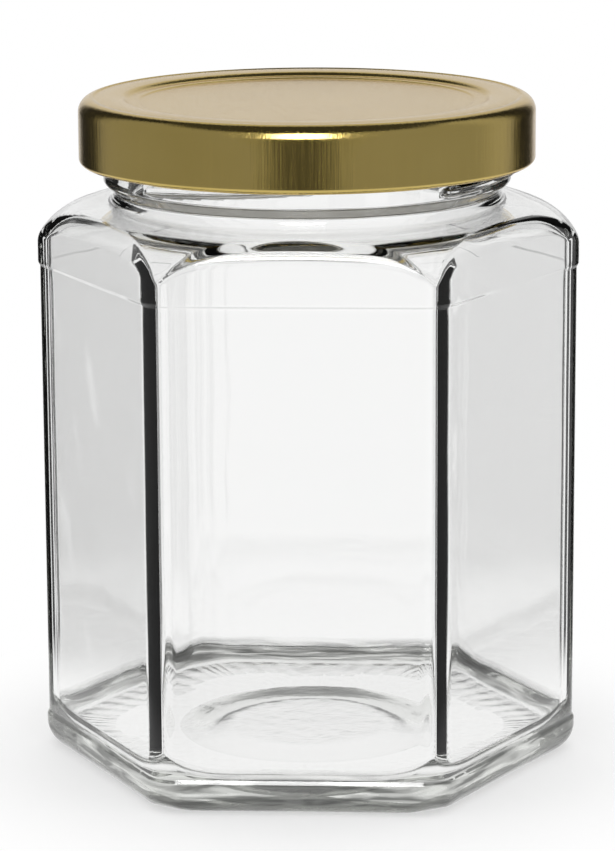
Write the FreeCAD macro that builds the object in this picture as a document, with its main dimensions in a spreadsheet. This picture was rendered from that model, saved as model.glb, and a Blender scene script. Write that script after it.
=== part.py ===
# Hexagonal glass jar with a twist-off metal lid, as a parametric document.
#
# Millimetres, +Z up.  The origin is the middle of the base, on the plane where the jar stands,
# and one flat of the hexagon faces -Y.  Angles turn about +Z and are counted from +X.
#
# The glass is an outer form less a cavity, both built by the same function: a hexagonal prism
# whose top is turned to a sloping shoulder that rolls over the corners.  The neck carries four
# short ramps, and the pressed lid hangs under them by four lugs and seals on the rim.
import FreeCAD
import Part
import math
import os
import Sketcher
from FreeCAD import Placement, Rotation, Vector

SIZES = [
    # body of the jar
    ("across_flats", 69.7, "body, flat to flat"),
    ("corner_radius", 5.3, "upright corners, outside"),
    ("wall", 2.4, "glass of the flats and the shoulder"),
    ("shoulder_height", 83.0, "base to the foot of the neck"),
    ("shoulder_slope", 12.4, "fall of the shoulder from the neck, degrees"),
    ("shoulder_round", 9.0, "roll of the shoulder over the corners"),
    ("shoulder_reach", 0.85, "that roll turns upright this far outside the corners"),
    ("shoulder_fillet", 3.0, "flats into the shoulder, outside"),
    ("inner_shoulder_fillet", 2.2, "flats into the shoulder, inside"),
    ("heel_round", 6.4, "roll of the heel under the corners"),
    ("heel_reach", 0.7, "that roll turns upright this far outside the corners"),
    ("heel_fillet", 3.2, "flats into the base, outside"),
    ("base_thickness", 4.4, "glass of the base"),
    ("floor_round", 5.2, "floor into the corners, inside"),
    ("floor_fillet", 1.6, "floor into the flats, inside"),
    ("pushup_radius", 19.0, "hollow under the base"),
    ("pushup_depth", 1.2, "rise of that hollow"),
    ("pushup_edge", 4.0, "slope from the hollow's rim to its roof"),
    ("pushup_round", 6.0, "that slope into the roof"),
    ("panel_depth", 0.3, "sunk label panel"),
    ("panel_bottom", 5.0, "base to the panel"),
    ("panel_margin", 10.0, "panel to the foot of the neck"),
    # neck and finish
    ("shoulder_ledge", 5.35, "flats in to the wall of the finish"),
    ("finish_wall", 3.5, "glass of the finish"),
    ("finish_height", 13.8, "foot of the neck to the rim"),
    ("waist_height", 2.6, "foot of the neck to the finish"),
    ("waist_depth", 1.4, "waist under the finish"),
    ("neck_fillet", 1.1, "shoulder into the waist"),
    ("inner_neck_fillet", 2.5, "shoulder into the bore"),
    ("rim_round", 1.0, "edges of the rim"),
    # ramps on the finish
    ("ramp_count", 4, "ramps, and lugs under them"),
    ("ramp_span", 94.0, "length of a ramp, degrees"),
    ("ramp_end", 12.0, "rounded end of a ramp, degrees"),
    ("ramp_reach", 1.8, "ramp's crest outside the finish"),
    ("ramp_height", 1.7, "ramp's own height"),
    ("ramp_overrun", 4.0, "high end past the middle of a lug, degrees"),
    ("ramp_sink", 0.1, "crest of a ramp's very end inside the finish"),
    ("ramp_taper", 0.4, "share of its height left at a ramp's very end"),
    ("ramp_nose", 0.75, "round of the crest, as a share of the half height"),
    # lid
    ("lid_sheet", 0.25, "sheet of the lid"),
    ("lid_height", 9.5, "curl to the top of the ring"),
    ("lid_corner", 2.1, "skirt into the ring, outside"),
    ("lid_turn", 43.0, "where the first lug sits, degrees"),
    ("ring_inset", 0.7, "ring's inner edge outside the bore"),
    ("ring_round", 0.8, "ring into the slope down to the step"),
    ("step_drop", 0.6, "ring down to the step"),
    ("step_slope", 0.9, "width of the slope from the ring to the step"),
    ("step_width", 1.5, "flat of the step"),
    ("step_round", 0.4, "bends of the step"),
    ("centre_drop", 0.2, "step down to the centre"),
    ("centre_slope", 0.4, "width of the slope from the step to the centre"),
    ("curl_radius", 0.8, "rolled edge of the skirt"),
    ("curl_gap", 0.1, "curl outside the ramps"),
    ("lug_reach", 1.1, "lug inside the ramps' crest"),
    ("lug_height", 0.88, "lug's own height"),
    ("lug_span", 18.0, "lug, degrees"),
    ("lug_gap", 0.45, "lug to the ramp above it and to the one below"),
    # seal
    ("seal_height", 0.65, "seal between the rim and the ring"),
]

# What several pieces share, worked out from the sizes above.
FLAT = "sheet.across_flats / 2"
CORNER = f"({FLAT} / cos(30 deg) - sheet.corner_radius * (1 / cos(30 deg) - 1))"
FINISH = f"({FLAT} - sheet.shoulder_ledge)"
BORE = f"({FINISH} - sheet.finish_wall)"
WAIST = f"({FINISH} - sheet.waist_depth)"
RIM = "(sheet.shoulder_height + sheet.finish_height)"
FALL = "tan(sheet.shoulder_slope * 1 deg)"
CREST = f"({FINISH} + sheet.ramp_reach)"
LID = f"({CREST} + sheet.curl_gap + 2 * sheet.curl_radius)"
RING = f"({BORE} + sheet.ring_inset)"
LID_BASE = f"({RIM} + sheet.seal_height + sheet.lid_sheet - sheet.lid_height)"

BEYOND = "20"  # how far cutting outlines reach past what they cut, in millimetres

doc = FreeCAD.newDocument("hexagonal_jar")
sheet = doc.addObject("Spreadsheet::Sheet", "sheet")
for row, (alias, value, note) in enumerate(SIZES, start=1):
    sheet.set(f"A{row}", alias)
    sheet.set(f"B{row}", str(value))
    sheet.set(f"C{row}", note)
    sheet.setAlias(f"B{row}", alias)
doc.recompute()


def number(expression):
    """The present value of an expression on the sheet's sizes."""
    return float(doc.getObject("reader").evalExpression(expression))


doc.addObject("App::FeaturePython", "reader")


# ---------------------------------------------------------------- sketches and features


def new_body(name):
    """An empty body whose label is its own name."""
    body = doc.addObject("PartDesign::Body", name)
    body.Label = name
    return body


def new_sketch(body, role, name):
    """A sketch on one of the body's own origin planes."""
    sketch = body.newObject("Sketcher::SketchObject", name)
    plane = next(item for item in body.Origin.OriginFeatures if item.Role == role)
    sketch.AttachmentSupport = [(plane, "")]
    sketch.MapMode = "FlatFace"
    return sketch


def bind(sketch, index, expression):
    """Tie a dimension of the sketch to an expression."""
    name = f"size_{index}"
    sketch.renameConstraint(index, name)
    sketch.setExpression(f"Constraints.{name}", expression)


def pin(sketch, geometry, point, place):
    """Hold a point at (x, y) from the sketch's origin, each given as an expression."""
    for kind, expression, axis in (("DistanceX", place[0], -2), ("DistanceY", place[1], -1)):
        value = number(expression)
        if abs(value) < 1e-9:
            sketch.addConstraint(Sketcher.Constraint("PointOnObject", geometry, point, axis))
            continue
        ends = (-1, 1, geometry, point) if value > 0 else (geometry, point, -1, 1)
        index = sketch.addConstraint(Sketcher.Constraint(kind, *ends, abs(value)))
        bind(sketch, index, expression if value > 0 else f"-({expression})")


def draw_outline(sketch, corners):
    """A closed outline of straight sides.

    Each corner is (x, y) or (x, y, radius), as expressions.  A corner with a radius keeps its
    point as a construction point and is rounded there by an arc tangent to both sides.
    """
    spots = [Vector(number(corner[0]), number(corner[1]), 0) for corner in corners]
    radii = [number(corner[2]) if len(corner) == 3 else 0.0 for corner in corners]
    count = len(corners)
    cuts = []
    for index in range(count):
        before = (spots[index - 1] - spots[index]).normalize()
        after = (spots[(index + 1) % count] - spots[index]).normalize()
        setback = radii[index] / math.tan(before.getAngle(after) / 2)
        cuts.append((spots[index] + before * setback, spots[index] + after * setback, before, after))
    sides = []
    for index in range(count):
        start = cuts[index][1]
        end = cuts[(index + 1) % count][0]
        sides.append(sketch.addGeometry(Part.LineSegment(start, end), False))
    for index, corner in enumerate(corners):
        last, following = sides[index - 1], sides[index]
        if len(corner) == 2:
            sketch.addConstraint(Sketcher.Constraint("Coincident", last, 2, following, 1))
            pin(sketch, following, 1, corner)
            continue
        arrive, leave, before, after = cuts[index]
        middle = (before + after).normalize()
        reach = radii[index] / math.sin(before.getAngle(after) / 2)
        centre = spots[index] + middle * reach
        arc = Part.Arc(arrive, centre - middle * radii[index], leave)
        fillet = sketch.addGeometry(arc, False)
        forward = (sketch.getPoint(fillet, 1) - arrive).Length < 1e-6
        first, second = (1, 2) if forward else (2, 1)
        sketch.addConstraint(Sketcher.Constraint("Tangent", last, 2, fillet, first))
        sketch.addConstraint(Sketcher.Constraint("Tangent", fillet, second, following, 1))
        bind(sketch, sketch.addConstraint(Sketcher.Constraint("Radius", fillet, radii[index])), corner[2])
        point = sketch.addGeometry(Part.Point(spots[index]), True)
        sketch.addConstraint(Sketcher.Constraint("PointOnObject", point, 1, last))
        sketch.addConstraint(Sketcher.Constraint("PointOnObject", point, 1, following))
        pin(sketch, point, 1, corner)


def hexagon(flat, corner):
    """Corners of a hexagon with flats facing -Y and +Y, each rounded."""
    return [(f"{flat} / cos(30 deg) * cos({60 * step} deg)",
             f"{flat} / cos(30 deg) * sin({60 * step} deg)", corner) for step in range(6)]


def turn(body, kind, name, corners, angle=None):
    """A Revolution or a Groove about Z of an outline in (radius, height)."""
    sketch = new_sketch(body, "XZ_Plane", f"{name}_outline")
    draw_outline(sketch, corners)
    feature = body.newObject(f"PartDesign::{kind}", name)
    feature.Profile = (sketch, [""])
    feature.ReferenceAxis = (sketch, ["V_Axis"])
    if angle:
        feature.setExpression("Angle", angle)
        feature.Midplane = True
    doc.recompute()
    return feature


def round_edges(body, name, radius, wanted):
    """A Fillet on the edges of the body's tip that pass the test, given the shape and the edge."""
    tip = body.Tip
    names = [f"Edge{index}" for index, edge in enumerate(tip.Shape.Edges, start=1)
             if wanted(tip.Shape, edge)]
    feature = body.newObject("PartDesign::Fillet", name)
    feature.Base = (tip, names)
    feature.setExpression("Radius", radius)
    doc.recompute()


def upright(face):
    """Whether a face stands straight up."""
    first, last, low, high = face.ParameterRange
    return abs(face.normalAt((first + last) / 2, (low + high) / 2).z) < 1e-6


def wall_edges(low, high):
    """Test for the edges where an upright face ends, between two heights given as expressions."""
    bottom, top = number(low), number(high)

    def test(shape, edge):
        box = edge.BoundBox
        faces = shape.ancestorsOfType(edge, Part.Face)
        return bottom <= box.ZMin and box.ZMax <= top and [upright(face) for face in faces].count(True) == 1

    return test


def ring_edge(height):
    """Test for the round edge at a height given as an expression."""
    level = number(height)
    return lambda shape, edge: edge.BoundBox.ZLength < 1e-6 and abs(edge.BoundBox.ZMin - level) < 0.01


# ---------------------------------------------------------------- glass: outer form and cavity


def shoulder_top(inset, throat):
    """Height at which a shoulder moved inwards by inset meets a neck of radius throat."""
    return (f"(sheet.shoulder_height - {inset} / cos(sheet.shoulder_slope * 1 deg)"
            f" + ({WAIST} - {throat}) * {FALL})")


def shouldered_prism(body, inset, bottom, throat):
    """A hexagonal prism under a turned shoulder that rolls over its corners.

    inset moves every wall inwards, bottom is the height of the underside, and throat is the
    radius at which the shoulder ends at the neck.  All are expressions.
    """
    top = shoulder_top(inset, throat)
    side = f"({CORNER} + sheet.shoulder_reach - {inset})"
    plan = new_sketch(body, "XY_Plane", f"{body.Name}_plan")
    draw_outline(plan, hexagon(f"({FLAT} - {inset})", f"sheet.corner_radius - {inset}"))
    plan.setExpression("AttachmentOffset.Base.z", bottom)
    pad = body.newObject("PartDesign::Pad", f"{body.Name}_prism")
    pad.Profile = plan
    pad.setExpression("Length", f"{top} - {bottom}")
    doc.recompute()
    turn(body, "Groove", f"{body.Name}_shoulder", [
        (throat, top),
        (side, f"{top} - ({side} - {throat}) * {FALL}", f"sheet.shoulder_round - {inset}"),
        (side, f"{top} - {BEYOND}"),
        (f"{side} + {BEYOND}", f"{top} - {BEYOND}"),
        (f"{side} + {BEYOND}", f"{top} + {BEYOND}"),
        (throat, f"{top} + {BEYOND}"),
    ])


def rolled_foot(body, name, side, level, radius):
    """Roll the foot of a prism upwards under its corners.

    side is the radius at which the roll turns upright, level the height of the underside.
    """
    inner = f"{side} - 2 * {radius}"
    turn(body, "Groove", name, [
        (inner, level),
        (side, level, radius),
        (side, f"{level} + {BEYOND}"),
        (f"{side} + {BEYOND}", f"{level} + {BEYOND}"),
        (f"{side} + {BEYOND}", f"{level} - {BEYOND}"),
        (inner, f"{level} - {BEYOND}"),
    ])


form = new_body("outer_form")
shouldered_prism(form, "0", "0", WAIST)
round_edges(form, "shoulder_edge", "sheet.shoulder_fillet",
            wall_edges("sheet.shoulder_height / 2", "sheet.shoulder_height"))
rolled_foot(form, "heel_roll", f"({CORNER} + sheet.heel_reach)", "0", "sheet.heel_round")
round_edges(form, "heel_edge", "sheet.heel_fillet", wall_edges("-1", "sheet.heel_round"))

panel_plan = new_sketch(form, "XY_Plane", "panel_plan")
draw_outline(panel_plan, hexagon(f"({FLAT} - sheet.panel_depth)", "sheet.corner_radius - sheet.panel_depth"))
outside = f"{CORNER} + {BEYOND}"
border = panel_plan.addGeometry(Part.Circle(Vector(0, 0, 0), Vector(0, 0, 1), number(outside)), False)
panel_plan.addConstraint(Sketcher.Constraint("Coincident", border, 3, -1, 1))
bind(panel_plan, panel_plan.addConstraint(Sketcher.Constraint("Radius", border, number(outside))), outside)
panel_plan.setExpression("AttachmentOffset.Base.z", "sheet.shoulder_height - sheet.panel_margin")
panel = form.newObject("PartDesign::Pocket", "panel")
panel.Profile = panel_plan
panel.setExpression("Length", "sheet.shoulder_height - sheet.panel_margin - sheet.panel_bottom")
doc.recompute()

turn(form, "Groove", "pushup", [
    ("0", f"-{BEYOND}"),
    ("sheet.pushup_radius", f"-{BEYOND}"),
    ("sheet.pushup_radius", "0"),
    ("sheet.pushup_radius - sheet.pushup_edge", "sheet.pushup_depth", "sheet.pushup_round"),
    ("0", "sheet.pushup_depth"),
])

turn(form, "Revolution", "finish", [
    ("0", "sheet.shoulder_height - sheet.wall"),
    (WAIST, "sheet.shoulder_height - sheet.wall"),
    (WAIST, "sheet.shoulder_height + sheet.waist_height - sheet.waist_depth", "sheet.waist_depth / 2"),
    (FINISH, "sheet.shoulder_height + sheet.waist_height", "sheet.waist_depth / 2"),
    (FINISH, RIM, "sheet.rim_round"),
    ("0", RIM),
])
round_edges(form, "neck_foot", "sheet.neck_fillet", ring_edge("sheet.shoulder_height"))

cavity = new_body("cavity")
shouldered_prism(cavity, "sheet.wall", "sheet.base_thickness", BORE)
round_edges(cavity, "inner_shoulder_edge", "sheet.inner_shoulder_fillet",
            wall_edges("sheet.shoulder_height / 2", "sheet.shoulder_height"))
rolled_foot(cavity, "floor_roll", f"({CORNER} + sheet.heel_reach - sheet.wall)",
            "sheet.base_thickness", "sheet.floor_round")
round_edges(cavity, "floor_edge", "sheet.floor_fillet", wall_edges("0", "sheet.shoulder_height / 2"))
turn(cavity, "Revolution", "bore", [
    ("0", "sheet.shoulder_height - 2 * sheet.wall"),
    (BORE, "sheet.shoulder_height - 2 * sheet.wall"),
    (BORE, RIM, "sheet.rim_round"),
    (f"{BORE} + sheet.finish_wall / 2", RIM),
    (f"{BORE} + sheet.finish_wall / 2", f"{RIM} + {BEYOND}"),
    ("0", f"{RIM} + {BEYOND}"),
])
round_edges(cavity, "throat", "sheet.inner_neck_fillet", ring_edge(shoulder_top("sheet.wall", BORE)))


# ---------------------------------------------------------------- ramps and the finished glass


def ramp_section(turned, share):
    """Wire of a ramp's section at an angle, standing out of the finish by a share of its reach."""
    root = number(f"{FINISH} - sheet.finish_wall / 4")
    sink, taper = number("sheet.ramp_sink"), number("sheet.ramp_taper")
    crest = number(FINISH) - sink + share * (number("sheet.ramp_reach") + sink)
    half = number("sheet.ramp_height") / 2 * (taper + (1 - taper) * share)
    middle = ramp_low + number("sheet.ramp_height") / 2 + lead * turned / 360
    shank = crest - half * number("sheet.ramp_nose")
    corners = [(root, middle - half), (shank, middle - half), (crest, middle),
               (shank, middle + half), (root, middle + half)]
    angle = math.radians(ramp_start + turned)
    spots = [Vector(radius * math.cos(angle), radius * math.sin(angle), height) for radius, height in corners]
    return Part.Wire([
        Part.LineSegment(spots[0], spots[1]).toShape(),
        Part.Arc(spots[1], spots[2], spots[3]).toShape(),
        Part.LineSegment(spots[3], spots[4]).toShape(),
        Part.LineSegment(spots[4], spots[0]).toShape(),
    ])


# A lug fits between two ramps with its gap above and below, which sets the ramps' lead.
lead = number("sheet.ramp_count * (sheet.ramp_height + sheet.lug_height + 2 * sheet.lug_gap)")
ramp_start = number("sheet.lid_turn + sheet.ramp_overrun - sheet.ramp_span")
lug_at = number("sheet.ramp_span - sheet.ramp_overrun")
ramp_low = number(f"{LID_BASE} + sheet.lug_height + sheet.lug_gap") - lead * lug_at / 360

span, end = number("sheet.ramp_span"), number("sheet.ramp_end")
END_STEPS, SPAN_STEPS = 3, 4
turns = [end * (1 - math.cos(math.pi / 2 * step / END_STEPS)) for step in range(END_STEPS)]
turns += [end + (span - 2 * end) * step / SPAN_STEPS for step in range(SPAN_STEPS + 1)]
turns += [span - turned for turned in reversed(turns[:END_STEPS])]
sections = [ramp_section(turned, math.sqrt(1 - max(0, end - turned, turned - span + end) ** 2 / end ** 2))
            for turned in turns]
first_ramp = Part.makeLoft(sections, True)
count = int(number("sheet.ramp_count"))
ramps = doc.addObject("Part::Feature", "ramps")
ramps.Shape = Part.makeCompound([
    first_ramp.rotated(Vector(0, 0, 0), Vector(0, 0, 1), 360 * step / count) for step in range(count)])

hollow = doc.addObject("Part::Cut", "hollow")
hollow.Base, hollow.Tool = form, cavity
glass_jar = doc.addObject("Part::Fuse", "glass_jar")
glass_jar.Base, glass_jar.Tool = hollow, ramps
doc.recompute()


# ---------------------------------------------------------------- lid and seal

# The lid is drawn from its rolled edge upwards and then set down on the seal, turned so that its
# lugs lie under the high ends of the ramps.
lid = new_body("lid")
lid.Placement = Placement(Vector(0, 0, 1), Rotation(Vector(0, 0, 1), 1))
lid.setExpression("Placement.Base.z", LID_BASE)
lid.setExpression("Placement.Rotation.Angle", "sheet.lid_turn")

CURL = f"({LID} - sheet.curl_radius)"
STEP_OUTER = f"({RING} - sheet.step_slope)"
STEP_INNER = f"({STEP_OUTER} - sheet.step_width)"
CENTRE = f"({STEP_INNER} - sheet.centre_slope)"
STEP = "(sheet.lid_height - sheet.step_drop)"
LEVEL = "(sheet.lid_height - sheet.step_drop - sheet.centre_drop)"
turn(lid, "Revolution", "pressing", [
    ("0", LEVEL),
    (CENTRE, LEVEL, "sheet.step_round"),
    (STEP_INNER, STEP, "sheet.step_round"),
    (STEP_OUTER, STEP, "sheet.step_round"),
    (RING, "sheet.lid_height", "sheet.ring_round"),
    (LID, "sheet.lid_height", "sheet.lid_corner"),
    (LID, "sheet.curl_radius"),
    (f"{LID} - sheet.lid_sheet", "sheet.curl_radius"),
    (f"{LID} - sheet.lid_sheet", "sheet.lid_height - sheet.lid_sheet", "sheet.lid_corner - sheet.lid_sheet"),
    (f"{RING} + sheet.lid_sheet / 2", "sheet.lid_height - sheet.lid_sheet", "sheet.ring_round - sheet.lid_sheet"),
    (f"{STEP_OUTER} + sheet.lid_sheet / 2", f"{STEP} - sheet.lid_sheet", "sheet.step_round"),
    (f"{STEP_INNER} + sheet.lid_sheet / 2", f"{STEP} - sheet.lid_sheet", "sheet.step_round"),
    (f"{CENTRE} + sheet.lid_sheet / 2", f"{LEVEL} - sheet.lid_sheet", "sheet.step_round"),
    ("0", f"{LEVEL} - sheet.lid_sheet"),
])

# The edge of the skirt is rolled inwards through three quarters of a turn.
roll = new_sketch(lid, "XZ_Plane", "roll")
centre = Vector(number(CURL), number("sheet.curl_radius"), 0)
rims = []
for radius in ("sheet.curl_radius", "sheet.curl_radius - sheet.lid_sheet"):
    circle = Part.Circle(centre, Vector(0, 0, 1), number(radius))
    rim = roll.addGeometry(Part.ArcOfCircle(circle, math.pi / 2, 2 * math.pi), False)
    bind(roll, roll.addConstraint(Sketcher.Constraint("Radius", rim, number(radius))), radius)
    rims.append(rim)
for point in (1, 2):
    ends = roll.getPoint(rims[0], point), roll.getPoint(rims[1], point)
    cap = roll.addGeometry(Part.LineSegment(*ends), False)
    roll.addConstraint(Sketcher.Constraint("Coincident", cap, 1, rims[0], point))
    roll.addConstraint(Sketcher.Constraint("Coincident", cap, 2, rims[1], point))
    roll.addConstraint(Sketcher.Constraint("Vertical" if point == 1 else "Horizontal", cap))
roll.addConstraint(Sketcher.Constraint("Coincident", rims[1], 3, rims[0], 3))
pin(roll, rims[0], 3, (CURL, "sheet.curl_radius"))
roll.addConstraint(Sketcher.Constraint("Vertical", rims[0], 3, rims[0], 1))
roll.addConstraint(Sketcher.Constraint("Horizontal", rims[0], 3, rims[0], 2))
curl = lid.newObject("PartDesign::Revolution", "curl")
curl.Profile = (roll, [""])
curl.ReferenceAxis = (roll, ["V_Axis"])
doc.recompute()

# At each lug the roll is pressed flat and inwards to a blunt tongue.
LUG_TIP = f"({CREST} - sheet.lug_reach)"
lug = turn(lid, "Revolution", "lug", [
    (LUG_TIP, "0", "sheet.lug_height / 3"),
    (CURL, "0"),
    (CURL, "sheet.lug_height"),
    (LUG_TIP, "sheet.lug_height", "sheet.lug_height / 3"),
], "sheet.lug_span")
lugs = lid.newObject("PartDesign::PolarPattern", "lugs")
lugs.Originals = [lug]
lugs.Axis = (lug.Profile[0], ["V_Axis"])
lugs.Angle = 360
lugs.setExpression("Occurrences", "sheet.ramp_count")
lid.Tip = lugs
doc.recompute()

# The seal is a flat ring flowed into the channel behind the lid's ring.
seal = new_body("lid_seal")
seal.Placement = Placement(Vector(0, 0, 1), Rotation())
seal.setExpression("Placement.Base.z", RIM)
SEAL_EDGE = f"({LID} - sheet.lid_corner)"
turn(seal, "Revolution", "ring", [
    (f"{BORE} + sheet.rim_round", "0", "sheet.seal_height / 3"),
    (SEAL_EDGE, "0", "sheet.seal_height / 3"),
    (SEAL_EDGE, "sheet.seal_height"),
    (f"{BORE} + sheet.rim_round", "sheet.seal_height"),
])


# ---------------------------------------------------------------- checks and files

for item in doc.Objects:
    if "Invalid" in item.State or "Error" in item.State:
        raise RuntimeError(f"{item.Name} failed: {item.State}")

os.makedirs("parts", exist_ok=True)
for piece in (glass_jar, lid, seal):
    shape = piece.Shape
    if shape.isNull() or not shape.isValid() or len(shape.Solids) != 1:
        raise RuntimeError(f"{piece.Label} is not one valid solid")
    shape.exportStep(os.path.join("parts", f"{piece.Label}.step"))
    print(f"{piece.Label}: {shape.Volume / 1000:.2f} cm3, top {shape.BoundBox.ZMax:.2f} mm")
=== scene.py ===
"""A hexagonal glass jar with its gold twist-off lid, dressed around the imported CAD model."""

import bpy
import numpy as np
from mathutils import Euler, Matrix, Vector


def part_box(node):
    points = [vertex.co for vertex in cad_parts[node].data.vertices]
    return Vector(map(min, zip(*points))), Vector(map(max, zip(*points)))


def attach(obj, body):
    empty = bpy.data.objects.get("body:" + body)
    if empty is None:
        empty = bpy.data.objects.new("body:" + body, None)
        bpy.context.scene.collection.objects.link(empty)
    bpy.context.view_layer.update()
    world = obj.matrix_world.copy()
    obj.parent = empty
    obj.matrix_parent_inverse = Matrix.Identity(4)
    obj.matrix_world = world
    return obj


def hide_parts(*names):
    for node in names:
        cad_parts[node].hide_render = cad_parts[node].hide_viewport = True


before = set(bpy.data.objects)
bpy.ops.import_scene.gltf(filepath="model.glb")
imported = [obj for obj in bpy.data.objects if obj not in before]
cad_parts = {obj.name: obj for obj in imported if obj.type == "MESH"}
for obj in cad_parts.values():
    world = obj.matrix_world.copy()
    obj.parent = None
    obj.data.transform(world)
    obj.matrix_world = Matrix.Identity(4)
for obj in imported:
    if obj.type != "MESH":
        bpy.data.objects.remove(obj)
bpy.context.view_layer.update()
MM = 0.001  # sizes below are in millimetres, with z = 0 where the jar stands, and angles in degrees

# ----------------------------------------------------------------------------------------
# The glass.  One closed skin of clear soda-lime glass, blown in a split mould: the outside
# follows the mould, the inside is free-formed by the air.  The jar stands on a knurled ring
# round a shallow hollow, and the neck ends in a lug finish with four short ramps.
# ----------------------------------------------------------------------------------------
glass_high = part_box("glass_jar")[1]
half_flats, tip_radius, rim_height = glass_high.y / MM, glass_high.x / MM, glass_high.z / MM
corner_round = 5.3
wall = 2.4
inner_corners = np.array([0.9, 5.0, 6.0, 6.0, 5.0, 0.8])
mean_inner_corner = 4.0
flat_columns, corner_columns = 34, 14
panel_low, panel_high, panel_depth, panel_step = 5.0, 73.0, 0.3, 0.8

finish_height, finish_wall, shoulder_ledge = 13.8, 3.5, 5.35
waist_height, waist_depth, waist_bend = 2.6, 1.4, 0.7
neck_fillet, throat_fillet, rim_round = 1.1, 2.5, 1.0
neck_foot = rim_height - finish_height
finish_radius = half_flats - shoulder_ledge
bore_radius = finish_radius - finish_wall
waist_radius = finish_radius - waist_depth

slope = np.radians(12.4)
shoulder_roll, shoulder_reach = 9.0, 0.85
shoulder_fillet, inner_shoulder_fillet = 3.0, 1.4
shoulder_centre = tip_radius + shoulder_reach - shoulder_roll
shoulder_level = (neck_foot - (shoulder_centre - waist_radius) * np.tan(slope)
                  - shoulder_roll / np.cos(slope))
heel_roll, heel_reach, heel_fillet = 5.2, 0.7, 3.2
heel_centre = tip_radius + heel_reach - heel_roll
base_thickness = 4.4
floor_roll, floor_fillet = 6.5, 2.6
floor_centre = tip_radius + heel_reach - wall - floor_roll
hollow_radius, hollow_edge, hollow_depth = 19.3, 8.0, 1.2
knurl_depth, knurl_columns, knurl_width = 0.1, 4, 6.0
pole_radius = 0.3


def hexagon_turns(flat_steps, corner_steps, apothem, corner):
    """Azimuths of the columns: evenly spaced along each flat of a rounded hexagon, and evenly
    spaced in the direction of the normal round each corner.  The first flat faces -Y."""
    core = (apothem - corner) * np.tan(np.radians(30))
    flat_turns = np.arctan2(np.linspace(-core, core, flat_steps, endpoint=False), apothem)
    normal = np.linspace(0, np.radians(60), corner_steps, endpoint=False)
    corner_turns = np.arctan2(core + corner * np.sin(normal),
                              apothem - corner * (1 - np.cos(normal)))
    sector = np.concatenate([flat_turns, corner_turns])
    return (np.arange(6)[:, None] * np.radians(60) + sector).ravel() - np.pi / 2


def hexagon_radius(turns, apothem, corner):
    """Distance from the axis to a rounded hexagon: the flat's distance over the cosine of the
    angle from its middle, and round a corner the far crossing with the corner's circle."""
    sector = (turns + np.pi / 2 + np.radians(30)) % np.radians(60) - np.radians(30)
    centre = (apothem - corner) / np.cos(np.radians(30))
    off = np.radians(30) - np.abs(sector)
    on_corner = centre * np.cos(off) + np.sqrt(np.maximum(corner ** 2 - (centre * np.sin(off)) ** 2, 0))
    tangent = np.arctan2((apothem - corner) * np.tan(np.radians(30)), apothem)
    return np.where(np.abs(sector) <= tangent, apothem / np.cos(sector), on_corner)


def inner_round(turns):
    """Radius of the inside of each corner: the value of the corner that is nearest in azimuth,
    counted from the right of -Y.  The two in front are nearly sharp for the looks alone, so
    that total reflection darkens them; a real jar's are about as round as the other four."""
    return inner_corners[np.floor((turns + np.pi / 2) / np.radians(60)).astype(int) % 6]


def ease(values):
    """Smooth step: three times the square less twice the cube, held between 0 and 1."""
    values = np.clip(values, 0, 1)
    return values * values * (3 - 2 * values)


def rolled_edge(outer, roll, fillet, centre, slope, steps):
    """Radii and lifts round an edge, by the direction of the normal from level to the slope.
    A fillet touches the upright wall at outer and hands over to the turned roll where both
    have the same normal, or runs out on the slope where the roll lies outside it."""
    reach = outer - fillet - centre
    spare = roll - fillet
    rolls = reach > spare * np.sin(slope)
    lift = np.where(rolls, np.sqrt(np.maximum(spare ** 2 - reach ** 2, 0)),
                    spare / np.cos(slope) - reach * np.tan(slope))
    handover = np.where(rolls, np.arctan2(lift, reach), np.pi)
    angle = np.linspace(0, np.pi / 2 - slope, steps)[:, None]
    on_fillet = angle <= handover
    radii = np.where(on_fillet, outer - fillet + fillet * np.cos(angle), centre + roll * np.cos(angle))
    return radii, np.where(on_fillet, lift + fillet * np.sin(angle), roll * np.sin(angle))


def straight(start, end, steps):
    """Rows after the first on straight lines between two rings, each a radius and a height."""
    share = np.linspace(0, 1, steps + 1)[1:, None]
    return tuple(first + (last - first) * share for first, last in zip(start, end))


def bend(corner, before, after, radius, steps):
    """Rows round a bend of a turned profile: an arc of the given radius that touches the two
    straight lines from the corner (r, z) to the points before and after it."""
    corner, before, after = (np.array(point, float) for point in (corner, before, after))
    one = (before - corner) / np.linalg.norm(before - corner)
    two = (after - corner) / np.linalg.norm(after - corner)
    half = np.arccos(np.clip(one @ two, -1, 1)) / 2
    centre = corner + (one + two) / np.linalg.norm(one + two) * radius / np.sin(half)
    first = corner + one * radius / np.tan(half) - centre
    last = corner + two * radius / np.tan(half) - centre
    start = np.arctan2(first[1], first[0])
    sweep = (np.arctan2(last[1], last[0]) - start + np.pi) % (2 * np.pi) - np.pi
    angle = (start + sweep * np.linspace(0, 1, steps))[:, None]
    return centre[0] + radius * np.cos(angle), centre[1] + radius * np.sin(angle)


ramp_low = rim_height - 10.75
ramp_lead = 13.92
ramp_span, ramp_end = 94.0, 12.0
ramp_first = 43.0
ramp_height, ramp_reach, ramp_taper = 1.7, 1.8, 0.4


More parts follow.
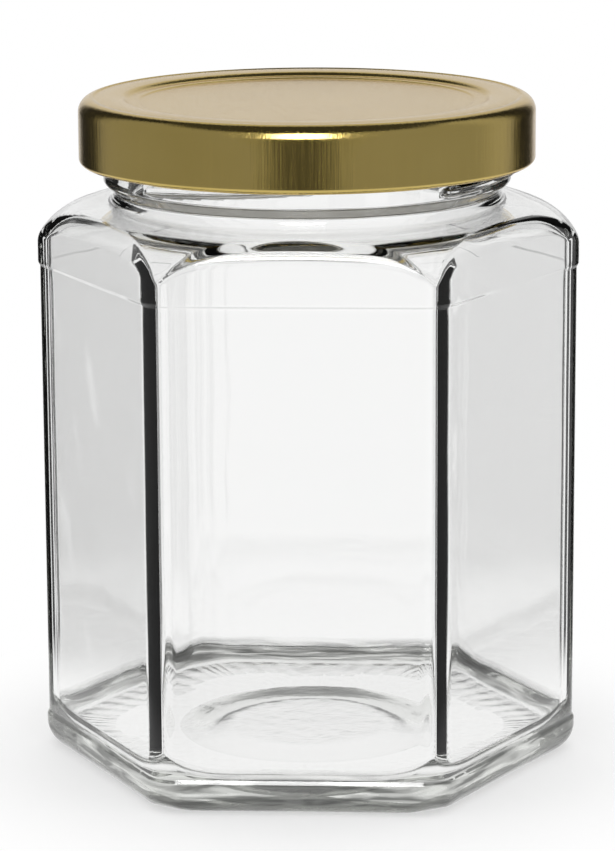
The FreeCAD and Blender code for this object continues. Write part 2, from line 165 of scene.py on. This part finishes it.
def ramps(turns, height):
    """How far the four ramps stand out of the finish at an azimuth and a height: a ridge that
    climbs with the angle and fades along a quarter circle at both ends.  Across it the reach
    is one less the fourth power of the way from its middle, all to the power 0.6."""
    turned = (np.degrees(turns) - ramp_first) % 90.0
    out = np.zeros(np.broadcast(turns, height).shape)
    for along in (turned, turned + 90.0):
        into_end = np.clip(ramp_end - np.minimum(along, ramp_span - along), 0, ramp_end) / ramp_end
        share = np.sqrt(1 - into_end ** 2)
        middle = ramp_low + ramp_height / 2 + ramp_lead * along / 360
        away = np.abs(height - middle) / (ramp_height / 2 * (ramp_taper + (1 - ramp_taper) * share))
        ridge = np.clip(1 - np.clip(away, 0, 2) ** 4, 0, 1) ** 0.6
        out = np.maximum(out, share * ramp_reach * ridge)
    return out


def outside_rows(turns):
    """The mould's side, from the middle of the hollow base up to the rim and over it."""
    level = 0 * turns
    outer = hexagon_radius(turns, half_flats, corner_round)
    rows = []
    # hollow of the base, the knurled ring it stands on and the heel
    radius = np.linspace(pole_radius, hollow_radius, 26)[:, None]
    rows.append((radius + level, hollow_depth * ease((hollow_radius - radius) / hollow_edge) + level))
    heel_r, heel_z = rolled_edge(outer, heel_roll, heel_fillet, heel_centre, 0.0, 15)
    ring_r, ring_z = straight((rows[-1][0][-1:], level), (heel_r[-1:] - 0.3, level), 9)
    knurls = 0.5 - 0.5 * np.cos(2 * np.pi / knurl_columns * np.arange(turns.size))
    band = ease((ring_r - heel_r[-1:] + knurl_width) / 2) * ease((heel_r[-1:] - ring_r) / 1.5)
    rows.append((ring_r, ring_z + knurl_depth * knurls * band))
    rows.append((heel_r[::-1], heel_roll - heel_z[::-1]))
    # upright with the sunk panel
    heights = np.concatenate([np.linspace(-0.5, 0.5, 9) * panel_step + panel_low,
                              np.linspace(panel_low, panel_high, 34)[1:-1],
                              np.linspace(-0.5, 0.5, 9) * panel_step + panel_high])[:, None]
    sunk = panel_depth * (ease((heights - panel_low) / panel_step + 0.5)
                          * ease((panel_high - heights) / panel_step + 0.5))
    rows.append((hexagon_radius(turns, half_flats - sunk, corner_round - sunk), heights + level))
    # shoulder, foot of the neck, waist and flare
    roll_r, roll_z = rolled_edge(outer, shoulder_roll, shoulder_fillet, shoulder_centre, slope, 24)
    roll_z = roll_z + shoulder_level
    rows.append(straight((outer, rows[-1][1][-1:]), (roll_r[:1], roll_z[:1]), 4))
    rows.append((roll_r[1:], roll_z[1:]))
    foot = (waist_radius, neck_foot)
    flare = neck_foot + waist_height
    foot_r, foot_z = bend(foot, (waist_radius + 3, neck_foot - 3 * np.tan(slope)),
                          (waist_radius, flare), neck_fillet, 9)
    rows.append(straight((roll_r[-1:], roll_z[-1:]), (foot_r[:1] + level, foot_z[:1] + level), 10))
    rows.append((foot_r[1:] + level, foot_z[1:] + level))
    below = (waist_radius, flare - waist_depth)
    low_r, low_z = bend(below, foot, (finish_radius, flare), waist_bend, 6)
    high_r, high_z = bend((finish_radius, flare), below, (finish_radius, rim_height), waist_bend, 6)
    rows += [(low_r + level, low_z + level), (high_r + level, high_z + level)]
    # finish with its ramps, and the rim
    heights = np.linspace(high_z[-1, 0], rim_height - rim_round, 44)[1:, None] + level
    rows.append((finish_radius + ramps(turns, heights), heights))
    lip_r, lip_z = bend((finish_radius, rim_height), (finish_radius, 0), (0, rim_height), rim_round, 7)
    rows.append((lip_r[1:] + level, lip_z[1:] + level))
    return np.concatenate([r for r, z in rows]), np.concatenate([z for r, z in rows])


def inside_rows(turns):
    """The free side, from the rim down the bore and the wall to the middle of the floor."""
    level = 0 * turns
    outer = hexagon_radius(turns, half_flats - wall, inner_round(turns))
    rows = []
    lip_r, lip_z = bend((bore_radius, rim_height), (finish_radius, rim_height),
                        (bore_radius, 0), rim_round, 7)
    rows.append((lip_r + level, lip_z + level))
    top = neck_foot - wall / np.cos(slope) + (waist_radius - bore_radius) * np.tan(slope)
    throat_r, throat_z = bend((bore_radius, top), (bore_radius, rim_height),
                              (bore_radius + 5, top - 5 * np.tan(slope)), throat_fillet, 10)
    roll_r, roll_z = rolled_edge(outer, shoulder_roll - wall, inner_shoulder_fillet,
                                 shoulder_centre, slope, 18)
    roll_z = roll_z + shoulder_level
    rows.append(straight((bore_radius + level, rim_height - rim_round), (throat_r[:1], throat_z[:1]), 12))
    rows.append((throat_r[1:] + level, throat_z[1:] + level))
    rows.append(straight((throat_r[-1:] + level, throat_z[-1:] + level), (roll_r[-1:], roll_z[-1:]), 8))
    rows.append((roll_r[-2::-1], roll_z[-2::-1]))
    floor_r, floor_z = rolled_edge(outer, floor_roll, floor_fillet, floor_centre, 0.0, 18)
    floor_z = base_thickness + floor_roll - floor_z
    wall_r, wall_z = straight((outer, roll_z[:1]), (outer, floor_z[:1]), 34)
    rows.append((wall_r + blown_wall(turns, wall_z), wall_z))
    rows.append((floor_r[1:], floor_z[1:]))
    rows.append(straight((floor_r[-1:], base_thickness + level),
                         (pole_radius + level, base_thickness + level), 26))
    return (np.concatenate([r + level for r, z in rows]), np.concatenate([z + level for r, z in rows]))


def blown_wall(turns, height):
    """Unevenness of the blown inside: three slow waves round and up the wall, together up to
    0.02 mm deep, which die out where the wall meets the shoulder and the floor."""
    waves = (np.sin(5 * turns + height / 9.0) + np.sin(11 * turns - height / 6.0 + 1.0)
             + 0.6 * np.sin(23 * turns + height / 3.7 + 2.0))
    return 0.008 * waves * ease((height - 10) / 12) * ease((72 - height) / 12)


def closed_skin(name, radii, heights, turns):
    """A mesh object from rings of points: radius and height for each row and column, the
    azimuth of each, and a point on the axis that closes each end."""
    rows, count = radii.shape
    points = np.stack([radii * np.cos(turns), radii * np.sin(turns), heights], axis=-1).reshape(-1, 3)
    ends = np.array([[0, 0, heights[0].mean()], [0, 0, heights[-1].mean()]])
    ring, after = np.arange(count), (np.arange(count) + 1) % count
    low = (np.arange(rows - 1)[:, None] * count + ring).ravel()
    side = (np.arange(rows - 1)[:, None] * count + after).ravel()
    quads = np.stack([low, side, side + count, low + count], axis=1)
    last = (rows - 1) * count
    start = np.stack([ring, np.full(count, rows * count), after], axis=1)
    finish = np.stack([ring + last, after + last, np.full(count, rows * count + 1)], axis=1)
    mesh = bpy.data.meshes.new(name)
    mesh.from_pydata((np.concatenate([points, ends]) * MM).tolist(), [],
                     quads.tolist() + start.tolist() + finish.tolist())
    mesh.polygons.foreach_set("use_smooth", [True] * len(mesh.polygons))
    piece = bpy.data.objects.new(name, mesh)
    bpy.context.scene.collection.objects.link(piece)
    return piece


def paint(piece, name, values, ends=(0, 0)):
    """A value on each point of a closed skin, for its material: rows and columns as in the
    skin, then the two ends of the axis."""
    values = np.append(values.ravel(), ends).astype(float)
    piece.data.attributes.new(name, "FLOAT", "POINT").data.foreach_set("value", values)


def add_node(tree, kind, inputs=None, **settings):
    """A shader node with its settings, and inputs by socket: each a value or another output."""
    node = tree.nodes.new(kind)
    for name, value in settings.items():
        setattr(node, name, value)
    for socket, value in (inputs or {}).items():
        if isinstance(value, bpy.types.NodeSocket):
            tree.links.new(value, node.inputs[socket])
        else:
            node.inputs[socket].default_value = value
    return node


def new_material(name, **sockets):
    """A material with a Principled surface whose sockets are set by name."""
    material = bpy.data.materials.new(name)
    material.use_nodes = True
    surface = material.node_tree.nodes["Principled BSDF"]
    for socket, value in sockets.items():
        surface.inputs[socket.replace("_", " ")].default_value = value
    return material, material.node_tree, surface


outer_turns = hexagon_turns(flat_columns, corner_columns, half_flats, corner_round)
inner_turns = hexagon_turns(flat_columns, corner_columns, half_flats - wall, mean_inner_corner)
outside, inside = outside_rows(outer_turns[None, :]), inside_rows(inner_turns[None, :])
radii = np.concatenate([outside[0], inside[0]])
heights = np.concatenate([outside[1], inside[1]])
turns = np.concatenate([np.repeat(outer_turns[None, :], len(outside[0]), 0),
                        np.repeat(inner_turns[None, :], len(inside[0]), 0)])
jar = closed_skin("jar", radii, heights, turns)
on_outside = (np.arange(len(radii)) < len(outside[0]))[:, None]
underside_top, heel_top, heel_inner = 2.4, 6.4, 27
paint(jar, "underside", on_outside * ease((underside_top - heights) / 1.6))
# the heel mask marks where the painted shade goes on the heel
paint(jar, "heel", on_outside * ease((heel_top - heights) / 1.6) * ease(heights / 0.8)
      * ease((radii - heel_inner) / 4))

clear_glass, tree, surface = new_material("clear_glass", Base_Color=(1, 1, 1, 1), Roughness=0.0,
                                          IOR=1.52, Transmission_Weight=1.0)
place = add_node(tree, "ShaderNodeTexCoord").outputs["Object"]
# a faint ripple all over, and a frosted grain on the underside
skin = add_node(tree, "ShaderNodeTexNoise", {"Vector": place, "Scale": 140.0, "Detail": 2.0})
ripple = add_node(tree, "ShaderNodeBump", {"Strength": 0.25, "Distance": 0.00004,
                                           "Height": skin.outputs[0]})
underside = add_node(tree, "ShaderNodeAttribute", attribute_name="underside").outputs["Fac"]
flat_place = add_node(tree, "ShaderNodeMapping", {"Vector": place, "Scale": (260.0, 260.0, 1900.0)})
grit = add_node(tree, "ShaderNodeTexNoise", {"Vector": flat_place.outputs[0], "Scale": 1.0,
                                             "Detail": 3.0})
grain = add_node(tree, "ShaderNodeBump", {"Strength": underside, "Distance": 0.00010,
                                          "Height": grit.outputs[0], "Normal": ripple.outputs[0]})
frost = add_node(tree, "ShaderNodeMath", {0: underside, 1: 0.13}, operation="MULTIPLY")
tree.links.new(frost.outputs[0], surface.inputs["Roughness"])
tree.links.new(grain.outputs[0], surface.inputs["Normal"])
# painted shade on the heel: dark grey streaks that lie along it, partly opaque, stand in for the shade the
# heel shows
heel = add_node(tree, "ShaderNodeAttribute", attribute_name="heel").outputs["Fac"]
long_place = add_node(tree, "ShaderNodeMapping", {"Vector": place, "Scale": (110.0, 110.0, 900.0)})
swirl = add_node(tree, "ShaderNodeTexNoise", {"Vector": long_place.outputs[0], "Scale": 1.0,
                                              "Detail": 3.0, "Distortion": 0.6})
heel_painted_shade = add_node(tree, "ShaderNodeValToRGB", {"Fac": swirl.outputs[0]})
heel_painted_shade.color_ramp.elements[0].position, heel_painted_shade.color_ramp.elements[1].position = 0.38, 0.66
heel_painted_shade.color_ramp.elements[0].color = (0.16, 0.165, 0.155, 1)
heel_painted_shade.color_ramp.elements[1].color = (0.82, 0.83, 0.80, 1)
# the heel's colour is mixed toward the painted shade, and its transmission is cut by the painted shade haze
shaded_heel_colour = add_node(tree, "ShaderNodeMix", {0: heel, 6: (1, 1, 1, 1), 7: heel_painted_shade.outputs[0]},
                data_type="RGBA")
tree.links.new(shaded_heel_colour.outputs[2], surface.inputs["Base Color"])
streaks = add_node(tree, "ShaderNodeMapRange", {"Value": swirl.outputs[0], "From Min": 0.36,
                                                "From Max": 0.64, "To Min": 0.78, "To Max": 0.22})
painted_shade_haze = add_node(tree, "ShaderNodeMath", {0: streaks.outputs[0], 1: heel}, operation="MULTIPLY")
clear_part = add_node(tree, "ShaderNodeMath", {0: 1.0, 1: painted_shade_haze.outputs[0]}, operation="SUBTRACT")
tree.links.new(clear_part.outputs[0], surface.inputs["Transmission Weight"])
# thick glass is a little darker
body = add_node(tree, "ShaderNodeVolumeAbsorption", {"Color": (0.912, 0.916, 0.906, 1),
                                                     "Density": 120.0})
tree.links.new(body.outputs[0], tree.nodes["Material Output"].inputs["Volume"])
jar.data.materials.append(clear_glass)
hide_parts("glass_jar")
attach(jar, "root")

# ----------------------------------------------------------------------------------------
# The lid.  Pressed from one disc of tinplate lacquered gold on the outside: a flat panel in
# a raised ring, a short skirt, and a rolled edge that is squeezed inwards at four places to
# make the lugs which catch under the ramps of the glass.
# ----------------------------------------------------------------------------------------
lid_low, lid_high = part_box("lid")
lid_base, lid_top = lid_low.z / MM, lid_high.z / MM
skirt_radius = 33.0
sheet = 0.25
curl = 0.8
lid_corner = 2.1
lug_turn, lug_half, lug_ease = 43.0, 9.0, 3.5
lug_tip, lug_middle, lug_rise, lug_drop = 30.2, 0.52, 0.32, 0.60
step_edge, step_slope, step_drop = 26.8, 1.1, 0.50
centre_edge, centre_slope, centre_drop, centre_crown = 24.4, 0.5, 0.20, 0.04
lid_columns = 320
gold_rows = 22


def pressed_top(radius):
    """Height of the pressing's middle over its ring, from the skirt's corner to the centre: a
    faint crown on the ring, a slope down to the step, a lower panel that is crowned again."""
    inner_fall = 0.10 * np.clip((28.8 - radius) / 2.1, 0, 1) ** 2
    outer_fall = 0.12 * np.clip((radius - 28.4) / 2.4, 0, 1) ** 2
    step = step_drop * ease((step_edge - radius) / step_slope)
    panel = centre_drop * ease((centre_edge - radius) / centre_slope)
    crown = centre_crown * np.clip(1 - (radius / (centre_edge - centre_slope)) ** 2, 0, 1)
    return crown - inner_fall - outer_fall - step - panel


def lid_middle(turns):
    """The middle of the sheet from the end of the roll round the edge, up the skirt and in to
    the centre.  At a lug the roll's circle is pressed to a low tongue that points inwards."""
    away = np.abs((np.degrees(turns) - lug_turn + 45) % 90 - 45)
    pressed = ease((lug_half + lug_ease / 2 - away) / lug_ease)
    middle = curl - sheet / 2
    angle = np.radians(np.linspace(-270, 0, 34))[:, None]
    outward, inward = np.maximum(np.cos(angle), 0), np.minimum(np.cos(angle), 0)
    hub = skirt_radius - curl
    roll = hub + middle * np.cos(angle), curl + middle * np.sin(angle)
    tongue_z = np.where(np.cos(angle) > 0, curl + lug_drop * np.sin(angle),
                        lug_middle + lug_rise * np.sin(angle))
    tongue = hub + middle * outward + (hub - lug_tip - sheet / 2) * inward, tongue_z
    edge = tuple(one * (1 - pressed) + two * pressed for one, two in zip(roll, tongue))
    height = lid_top - lid_base
    outer = skirt_radius - sheet / 2
    skirt = straight((outer, curl), (outer, height - lid_corner), 14)
    angle = np.linspace(0, np.pi / 2, 12)[1:, None]
    corner = lid_corner - sheet / 2
    hip = outer - corner + corner * np.cos(angle), height - lid_corner + corner * np.sin(angle)
    radius = np.concatenate([np.linspace(30.8, 27.0, 8), np.linspace(26.8, 25.6, 9), [25.2, 24.8],
                             np.linspace(24.45, 23.8, 6), np.linspace(23, pole_radius, 16)])[:, None]
    top = radius, height - sheet / 2 + pressed_top(radius)
    level = 0 * turns
    rows = [edge, skirt, hip, top]
    return (np.concatenate([r + level for r, z in rows]),
            np.concatenate([z + level for r, z in rows]) + lid_base)


lid_turns = np.linspace(0, 2 * np.pi, lid_columns, endpoint=False)[None, :]
middle_r, middle_z = lid_middle(lid_turns)
along_r, along_z = np.gradient(middle_r, axis=0), np.gradient(middle_z, axis=0)
length = np.hypot(along_r, along_z)
normal_r, normal_z = along_z / length * sheet / 2, -along_r / length * sheet / 2
radii = np.concatenate([(middle_r - normal_r)[::-1], middle_r + normal_r])
heights = np.concatenate([(middle_z - normal_z)[::-1], middle_z + normal_z])
lid = closed_skin("gold_lid", np.maximum(radii, 0.05), np.minimum(heights, lid_top), lid_turns)

# the inside is enamelled, but the outside's lacquer turns in with the rolled edge
enamelled = np.arange(len(radii)) < len(middle_r) - gold_rows
paint(lid, "enamel", np.repeat(enamelled, lid_turns.size), ends=(1, 0))

gold, tree, surface = new_material("gold_lacquer", Base_Color=(0.50, 0.38, 0.12, 1), Metallic=1.0,
                                   Roughness=0.16, Coat_Weight=0.2, Coat_Roughness=0.05, Coat_IOR=1.5,
                                   Specular_Tint=(0.97, 0.88, 0.78, 1))
place = add_node(tree, "ShaderNodeTexCoord").outputs["Object"]
rolled = add_node(tree, "ShaderNodeMapping", {"Vector": place, "Scale": (4200.0, 4200.0, 90.0)})
lines = add_node(tree, "ShaderNodeTexNoise", {"Vector": rolled.outputs[0], "Scale": 1.0, "Detail": 4.0})
peel = add_node(tree, "ShaderNodeTexNoise", {"Vector": place, "Scale": 1500.0, "Detail": 2.0})
cloud = add_node(tree, "ShaderNodeTexNoise", {"Vector": place, "Scale": 45.0, "Detail": 3.0})
tone = add_node(tree, "ShaderNodeValToRGB", {"Fac": cloud.outputs[0]})
tone.color_ramp.elements[0].position, tone.color_ramp.elements[1].position = 0.3, 0.7
tone.color_ramp.elements[0].color = (0.47, 0.355, 0.105, 1)
tone.color_ramp.elements[1].color = (0.52, 0.40, 0.13, 1)
gloss = add_node(tree, "ShaderNodeMapRange", {"Value": lines.outputs[0], "From Min": 0.3, "From Max": 0.7,
                                              "To Min": 0.09, "To Max": 0.25})
brushed = add_node(tree, "ShaderNodeBump", {"Strength": 0.8, "Distance": 0.00003,
                                            "Height": lines.outputs[0]})
fine = add_node(tree, "ShaderNodeBump", {"Strength": 0.3, "Distance": 0.00001, "Height": peel.outputs[0],
                                         "Normal": brushed.outputs[0]})
inside_face = add_node(tree, "ShaderNodeAttribute", attribute_name="enamel").outputs["Fac"]
coat = add_node(tree, "ShaderNodeMix", {0: inside_face, 6: tone.outputs[0],
                                        7: (0.78, 0.76, 0.70, 1)}, data_type="RGBA")
metal = add_node(tree, "ShaderNodeMath", {0: 1.0, 1: inside_face}, operation="SUBTRACT")
tree.links.new(coat.outputs[2], surface.inputs["Base Color"])
tree.links.new(metal.outputs[0], surface.inputs["Metallic"])
tree.links.new(gloss.outputs[0], surface.inputs["Roughness"])
tree.links.new(fine.outputs[0], surface.inputs["Normal"])
lid.data.materials.append(gold)
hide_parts("lid")
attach(lid, "root")

# ----------------------------------------------------------------------------------------
# The seal.  A ring of off-white plastisol, flowed into the lid's channel and pressed flat by
# the rim of the glass, with a soft bead left standing down outside the rim.
# ----------------------------------------------------------------------------------------
seal_low, seal_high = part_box("lid_seal")
seal_base, seal_top = seal_low.z / MM, seal_high.z / MM
seal_inner, seal_outer = bore_radius + 1.0, seal_high.x / MM
seal_squareness = 0.4
bead_drop = 0.25


def ring_skin(name, radii, heights, turns):
    """A closed ring from a closed outline: radius and height for each row, azimuth by column."""
    rows, count = radii.size, turns.size
    points = np.stack(np.broadcast_arrays(radii * np.cos(turns), radii * np.sin(turns), heights), axis=-1)
    row, column = np.meshgrid(np.arange(rows), np.arange(count), indexing="ij")
    following, after = (row + 1) % rows, (column + 1) % count
    quads = np.stack([row * count + column, row * count + after,
                      following * count + after, following * count + column], axis=-1).reshape(-1, 4)
    mesh = bpy.data.meshes.new(name)
    mesh.from_pydata((points.reshape(-1, 3) * MM).tolist(), [], quads.tolist())
    mesh.polygons.foreach_set("use_smooth", [True] * len(mesh.polygons))
    piece = bpy.data.objects.new(name, mesh)
    bpy.context.scene.collection.objects.link(piece)
    return piece


angle = np.linspace(-np.pi, np.pi, 40, endpoint=False)[:, None]
cosine, sine = np.cos(angle), np.sin(angle)
across = np.sign(cosine) * np.abs(cosine) ** seal_squareness
upward = np.sign(sine) * np.abs(sine) ** seal_squareness
seal_radii = (seal_inner + seal_outer) / 2 + (seal_outer - seal_inner) / 2 * across
seal_heights = (seal_base + seal_top) / 2 + (seal_top - seal_base) / 2 * upward
bead = ease((seal_radii - finish_radius - 0.1) / 0.5) * (sine < 0)
seal = ring_skin("seal", seal_radii, seal_heights - bead_drop * bead,
                 np.linspace(0, 2 * np.pi, 160, endpoint=False)[None, :])

plastisol, tree, surface = new_material("plastisol", Roughness=0.55, Subsurface_Weight=0.1,
                                        Subsurface_Scale=0.0005)
place = add_node(tree, "ShaderNodeTexCoord").outputs["Object"]
flow = add_node(tree, "ShaderNodeTexNoise", {"Vector": place, "Scale": 220.0, "Detail": 3.0})
tone = add_node(tree, "ShaderNodeValToRGB", {"Fac": flow.outputs[0]})
tone.color_ramp.elements[0].color = (0.60, 0.57, 0.48, 1)
tone.color_ramp.elements[1].color = (0.70, 0.67, 0.59, 1)
dimple = add_node(tree, "ShaderNodeBump", {"Strength": 0.4, "Distance": 0.00005, "Height": flow.outputs[0]})
tree.links.new(tone.outputs[0], surface.inputs["Base Color"])
tree.links.new(dimple.outputs[0], surface.inputs["Normal"])
seal.data.materials.append(plastisol)
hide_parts("lid_seal")
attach(seal, "root")

# ----------------------------------------------------------------------------------------
# The studio.  A white sweep under a white surround.  What is seen through the glass has dark
# cards between the main views, which give clear glass its edges.  What gold and glass mirror
# is the room: a soft box over the camera, a white wall behind, gaps beside it, a dark ceiling.
# ----------------------------------------------------------------------------------------
camera = bpy.data.objects.new("camera", bpy.data.cameras.new("camera"))
bpy.context.scene.collection.objects.link(camera)
camera.data.sensor_fit = "VERTICAL"
camera.data.sensor_height = 36.0
camera.data.lens = 156.7
orbit, distance, camera_height = np.radians(2.838), 0.53146, 0.16838
looks_down, looks_aside, leans = 12.684, 0.016, -0.30
camera.location = (distance * np.sin(orbit), -distance * np.cos(orbit), camera_height)
aim = Euler((np.radians(90 - looks_down), 0, orbit + np.radians(looks_aside))).to_matrix()
camera.rotation_euler = (aim @ Matrix.Rotation(np.radians(leans), 3, "Z")).to_euler()
bpy.context.scene.camera = camera


def calculate(tree, operation, *values):
    """A Math node over values or sockets."""
    return add_node(tree, "ShaderNodeMath", dict(enumerate(values)), operation=operation).outputs[0]


def above(tree, value, edge, soft):
    """0 below the edge and 1 above it, eased over a width of soft, or the reverse where soft is
    negative."""
    return add_node(tree, "ShaderNodeMapRange",
                    {"Value": value, "From Min": edge - soft / 2, "From Max": edge + soft / 2},
                    interpolation_type="SMOOTHSTEP").outputs[0]


def window(tree, value, low, high, soft):
    """1 between low and high and 0 outside them, eased over a width of soft at both ends."""
    return calculate(tree, "MULTIPLY", above(tree, value, low, soft), above(tree, value, high, -soft))


def layered(tree, base, layers):
    """Brightness from a base value and layers of (mask, brightness), each laid over the last."""
    for mask, brightness in layers:
        mix = add_node(tree, "ShaderNodeMix", {0: mask, 2: base, 3: brightness}, data_type="FLOAT")
        base = mix.outputs[0]
    return base


world = bpy.data.worlds.new("white_surround")
bpy.context.scene.world = world
world.use_nodes = True
tree = world.node_tree
light_path = add_node(tree, "ShaderNodeLightPath")
view = add_node(tree, "ShaderNodeSeparateXYZ",
                {0: add_node(tree, "ShaderNodeTexCoord").outputs["Generated"]})
# directions in degrees: turn is 0 behind the jar and 180 at the camera, lift is 90 overhead
turn = calculate(tree, "ARCTAN2", view.outputs[0], view.outputs[1])
turn = calculate(tree, "MULTIPLY", turn, 180 / np.pi)
lift = calculate(tree, "MULTIPLY", calculate(tree, "ARCSINE", view.outputs[2]), 180 / np.pi)
# dark cards between the eight main directions of view, seen through the glass
quarter = calculate(tree, "PINGPONG", turn, 45.0)
cards = calculate(tree, "MULTIPLY", window(tree, quarter, 15.5, 38, 2.0), window(tree, lift, -24, 25, 6))
upper_wall = above(tree, lift, 12, 10)
through = layered(tree, 1.0, [(upper_wall, 0.75), (cards, 0.02)])
# the room that gold and the glass mirror
aside = calculate(tree, "ABSOLUTE", turn)
back_wall = above(tree, aside, 30, -8)
left_gap, right_gap = window(tree, turn, -55, -22, 7), window(tree, turn, 20, 52, 7)
right_wall = window(tree, turn, 52, 76, 7)
camera_side = above(tree, aside, 164, 8)
ceiling = above(tree, lift, 53, 8)
soft_box = calculate(tree, "MULTIPLY", above(tree, aside, 167, 4), window(tree, lift, 15, 51, 5))
below_table = above(tree, lift, -20, -10)
mirrored = layered(tree, 0.45, [(back_wall, 0.85), (left_gap, 0.03), (right_gap, 0.03),
                                (right_wall, 0.6), (camera_side, 0.12), (ceiling, 0.06),
                                (soft_box, 15.0), (below_table, 1.1)])
seen = layered(tree, 1.0, [(light_path.outputs["Is Glossy Ray"], mirrored),
                           (light_path.outputs["Is Transmission Ray"], through),
                           (light_path.outputs["Is Camera Ray"], 1.0)])
tree.links.new(seen, tree.nodes["Background"].inputs["Strength"])
tree.nodes["Background"].inputs["Color"].default_value = (1, 1, 1, 1)

half_floor = 3
corners = [(-half_floor, -half_floor, 0), (half_floor, -half_floor, 0),
           (half_floor, half_floor, 0), (-half_floor, half_floor, 0)]
floor_mesh = bpy.data.meshes.new("floor")
floor_mesh.from_pydata(corners, [], [(0, 1, 2, 3)])
floor = bpy.data.objects.new("floor", floor_mesh)
bpy.context.scene.collection.objects.link(floor)
sweep = bpy.data.materials.new("white_sweep")
sweep.use_nodes = True
tree = sweep.node_tree
paper = tree.nodes["Principled BSDF"]
paper.inputs["Base Color"].default_value = (0.5, 0.5, 0.5, 1)
paper.inputs["Roughness"].default_value = 1.0
paper.inputs["Specular IOR Level"].default_value = 0.0
paper.inputs["Emission Color"].default_value = (1, 1, 1, 1)
light_path = add_node(tree, "ShaderNodeLightPath")
place = add_node(tree, "ShaderNodeTexCoord").outputs["Object"]
reach = add_node(tree, "ShaderNodeVectorMath", {0: place}, operation="LENGTH").outputs["Value"]
to_camera, to_mirror = light_path.outputs["Is Camera Ray"], light_path.outputs["Is Glossy Ray"]
# the paper takes the jar's shadow, and fades to plain white a little way from it
tree.links.new(calculate(tree, "MULTIPLY", to_camera, 0.5), paper.inputs["Emission Strength"])
away = calculate(tree, "MULTIPLY", above(tree, reach, 0.052, 0.034), to_camera)
plain = calculate(tree, "MAXIMUM", to_mirror, away)
white = add_node(tree, "ShaderNodeEmission", {"Strength": 1.0})
pale = add_node(tree, "ShaderNodeMixShader", {0: plain, 1: paper.outputs[0], 2: white.outputs[0]})
# in gold and glass it ends near the jar, so that they mirror the surround below it
open_floor = calculate(tree, "MULTIPLY", above(tree, reach, 0.075, 0.03), to_mirror)
clear = add_node(tree, "ShaderNodeBsdfTransparent")
final = add_node(tree, "ShaderNodeMixShader", {0: open_floor, 1: pale.outputs[0], 2: clear.outputs[0]})
tree.links.new(final.outputs[0], tree.nodes["Material Output"].inputs["Surface"])
floor_mesh.materials.append(sweep)

bpy.context.scene.view_settings.view_transform = "Standard"
